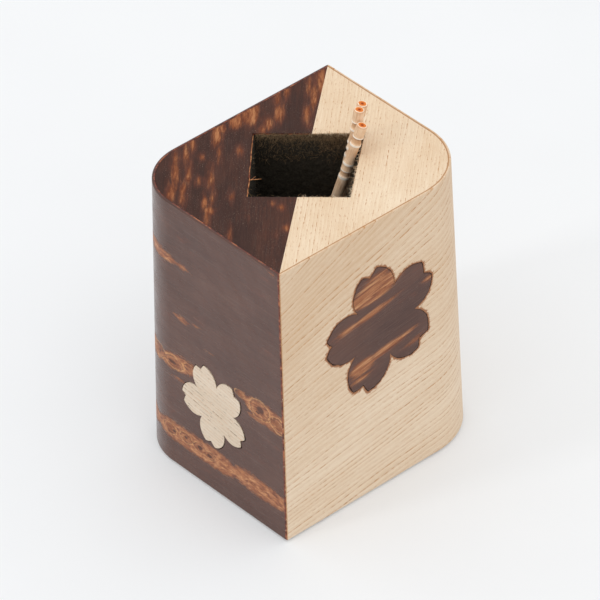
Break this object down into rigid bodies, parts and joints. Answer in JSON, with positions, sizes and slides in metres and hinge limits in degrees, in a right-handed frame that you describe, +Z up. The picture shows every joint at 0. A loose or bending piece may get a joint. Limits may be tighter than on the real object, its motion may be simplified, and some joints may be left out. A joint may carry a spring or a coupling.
{
  "type": "pick holder",
  "caption": "Small tapered block, half bark and half pale wood with blossom inlays, with a square felt-lined well holding slim turned wooden picks.",
  "frame": {"origin": "middle of the underside, on the surface the block stands on", "axes": "+Z up, +X along the pale wood front face from the front corner, +Y along the bark side face from the front corner"},
  "size_m": [0.056, 0.0476, 0.0743],
  "materials": {
    "cherry_bark": "polished cherry bark, satin",
    "ash_wood": "fine sanded ash veneer",
    "core_wood": "sawn wood",
    "black_felt": "short wool felt",
    "pad_felt": "thin felt pad",
    "pick_wood": "turned birch, singed end face"
  },
  "bodies": {
    "block": {"bark_half_core": "core_wood", "ash_half_core": "core_wood", "bark_side_wrap": "cherry_bark", "ash_side_wrap": "ash_wood", "bark_top_sheet": "cherry_bark", "ash_top_sheet": "ash_wood", "pale_blossom": "ash_wood", "dark_blossom": "cherry_bark", "well_felt_left": "black_felt", "well_felt_back": "black_felt", "well_felt_right": "black_felt", "well_felt_front": "black_felt", "well_felt_floor": "black_felt", "base_pad": "pad_felt"},
    "pick_1": {"pick_1": "pick_wood"},
    "pick_2": {"pick_2": "pick_wood"},
    "pick_3": {"pick_3": "pick_wood"}
  },
  "joints": [
    {"name": "pick_1_lift", "type": "slide", "parent": "block", "child": "pick_1", "axis": [0.1589, -0.1451, 0.9766], "range_m": [0, 0.075]},
    {"name": "pick_2_lift", "type": "slide", "parent": "block", "child": "pick_2", "axis": [0.114, -0.1154, 0.9868], "range_m": [0, 0.075]},
    {"name": "pick_3_lift", "type": "slide", "parent": "block", "child": "pick_3", "axis": [0.2312, -0.1905, 0.9541], "range_m": [0, 0.075]}
  ]
}
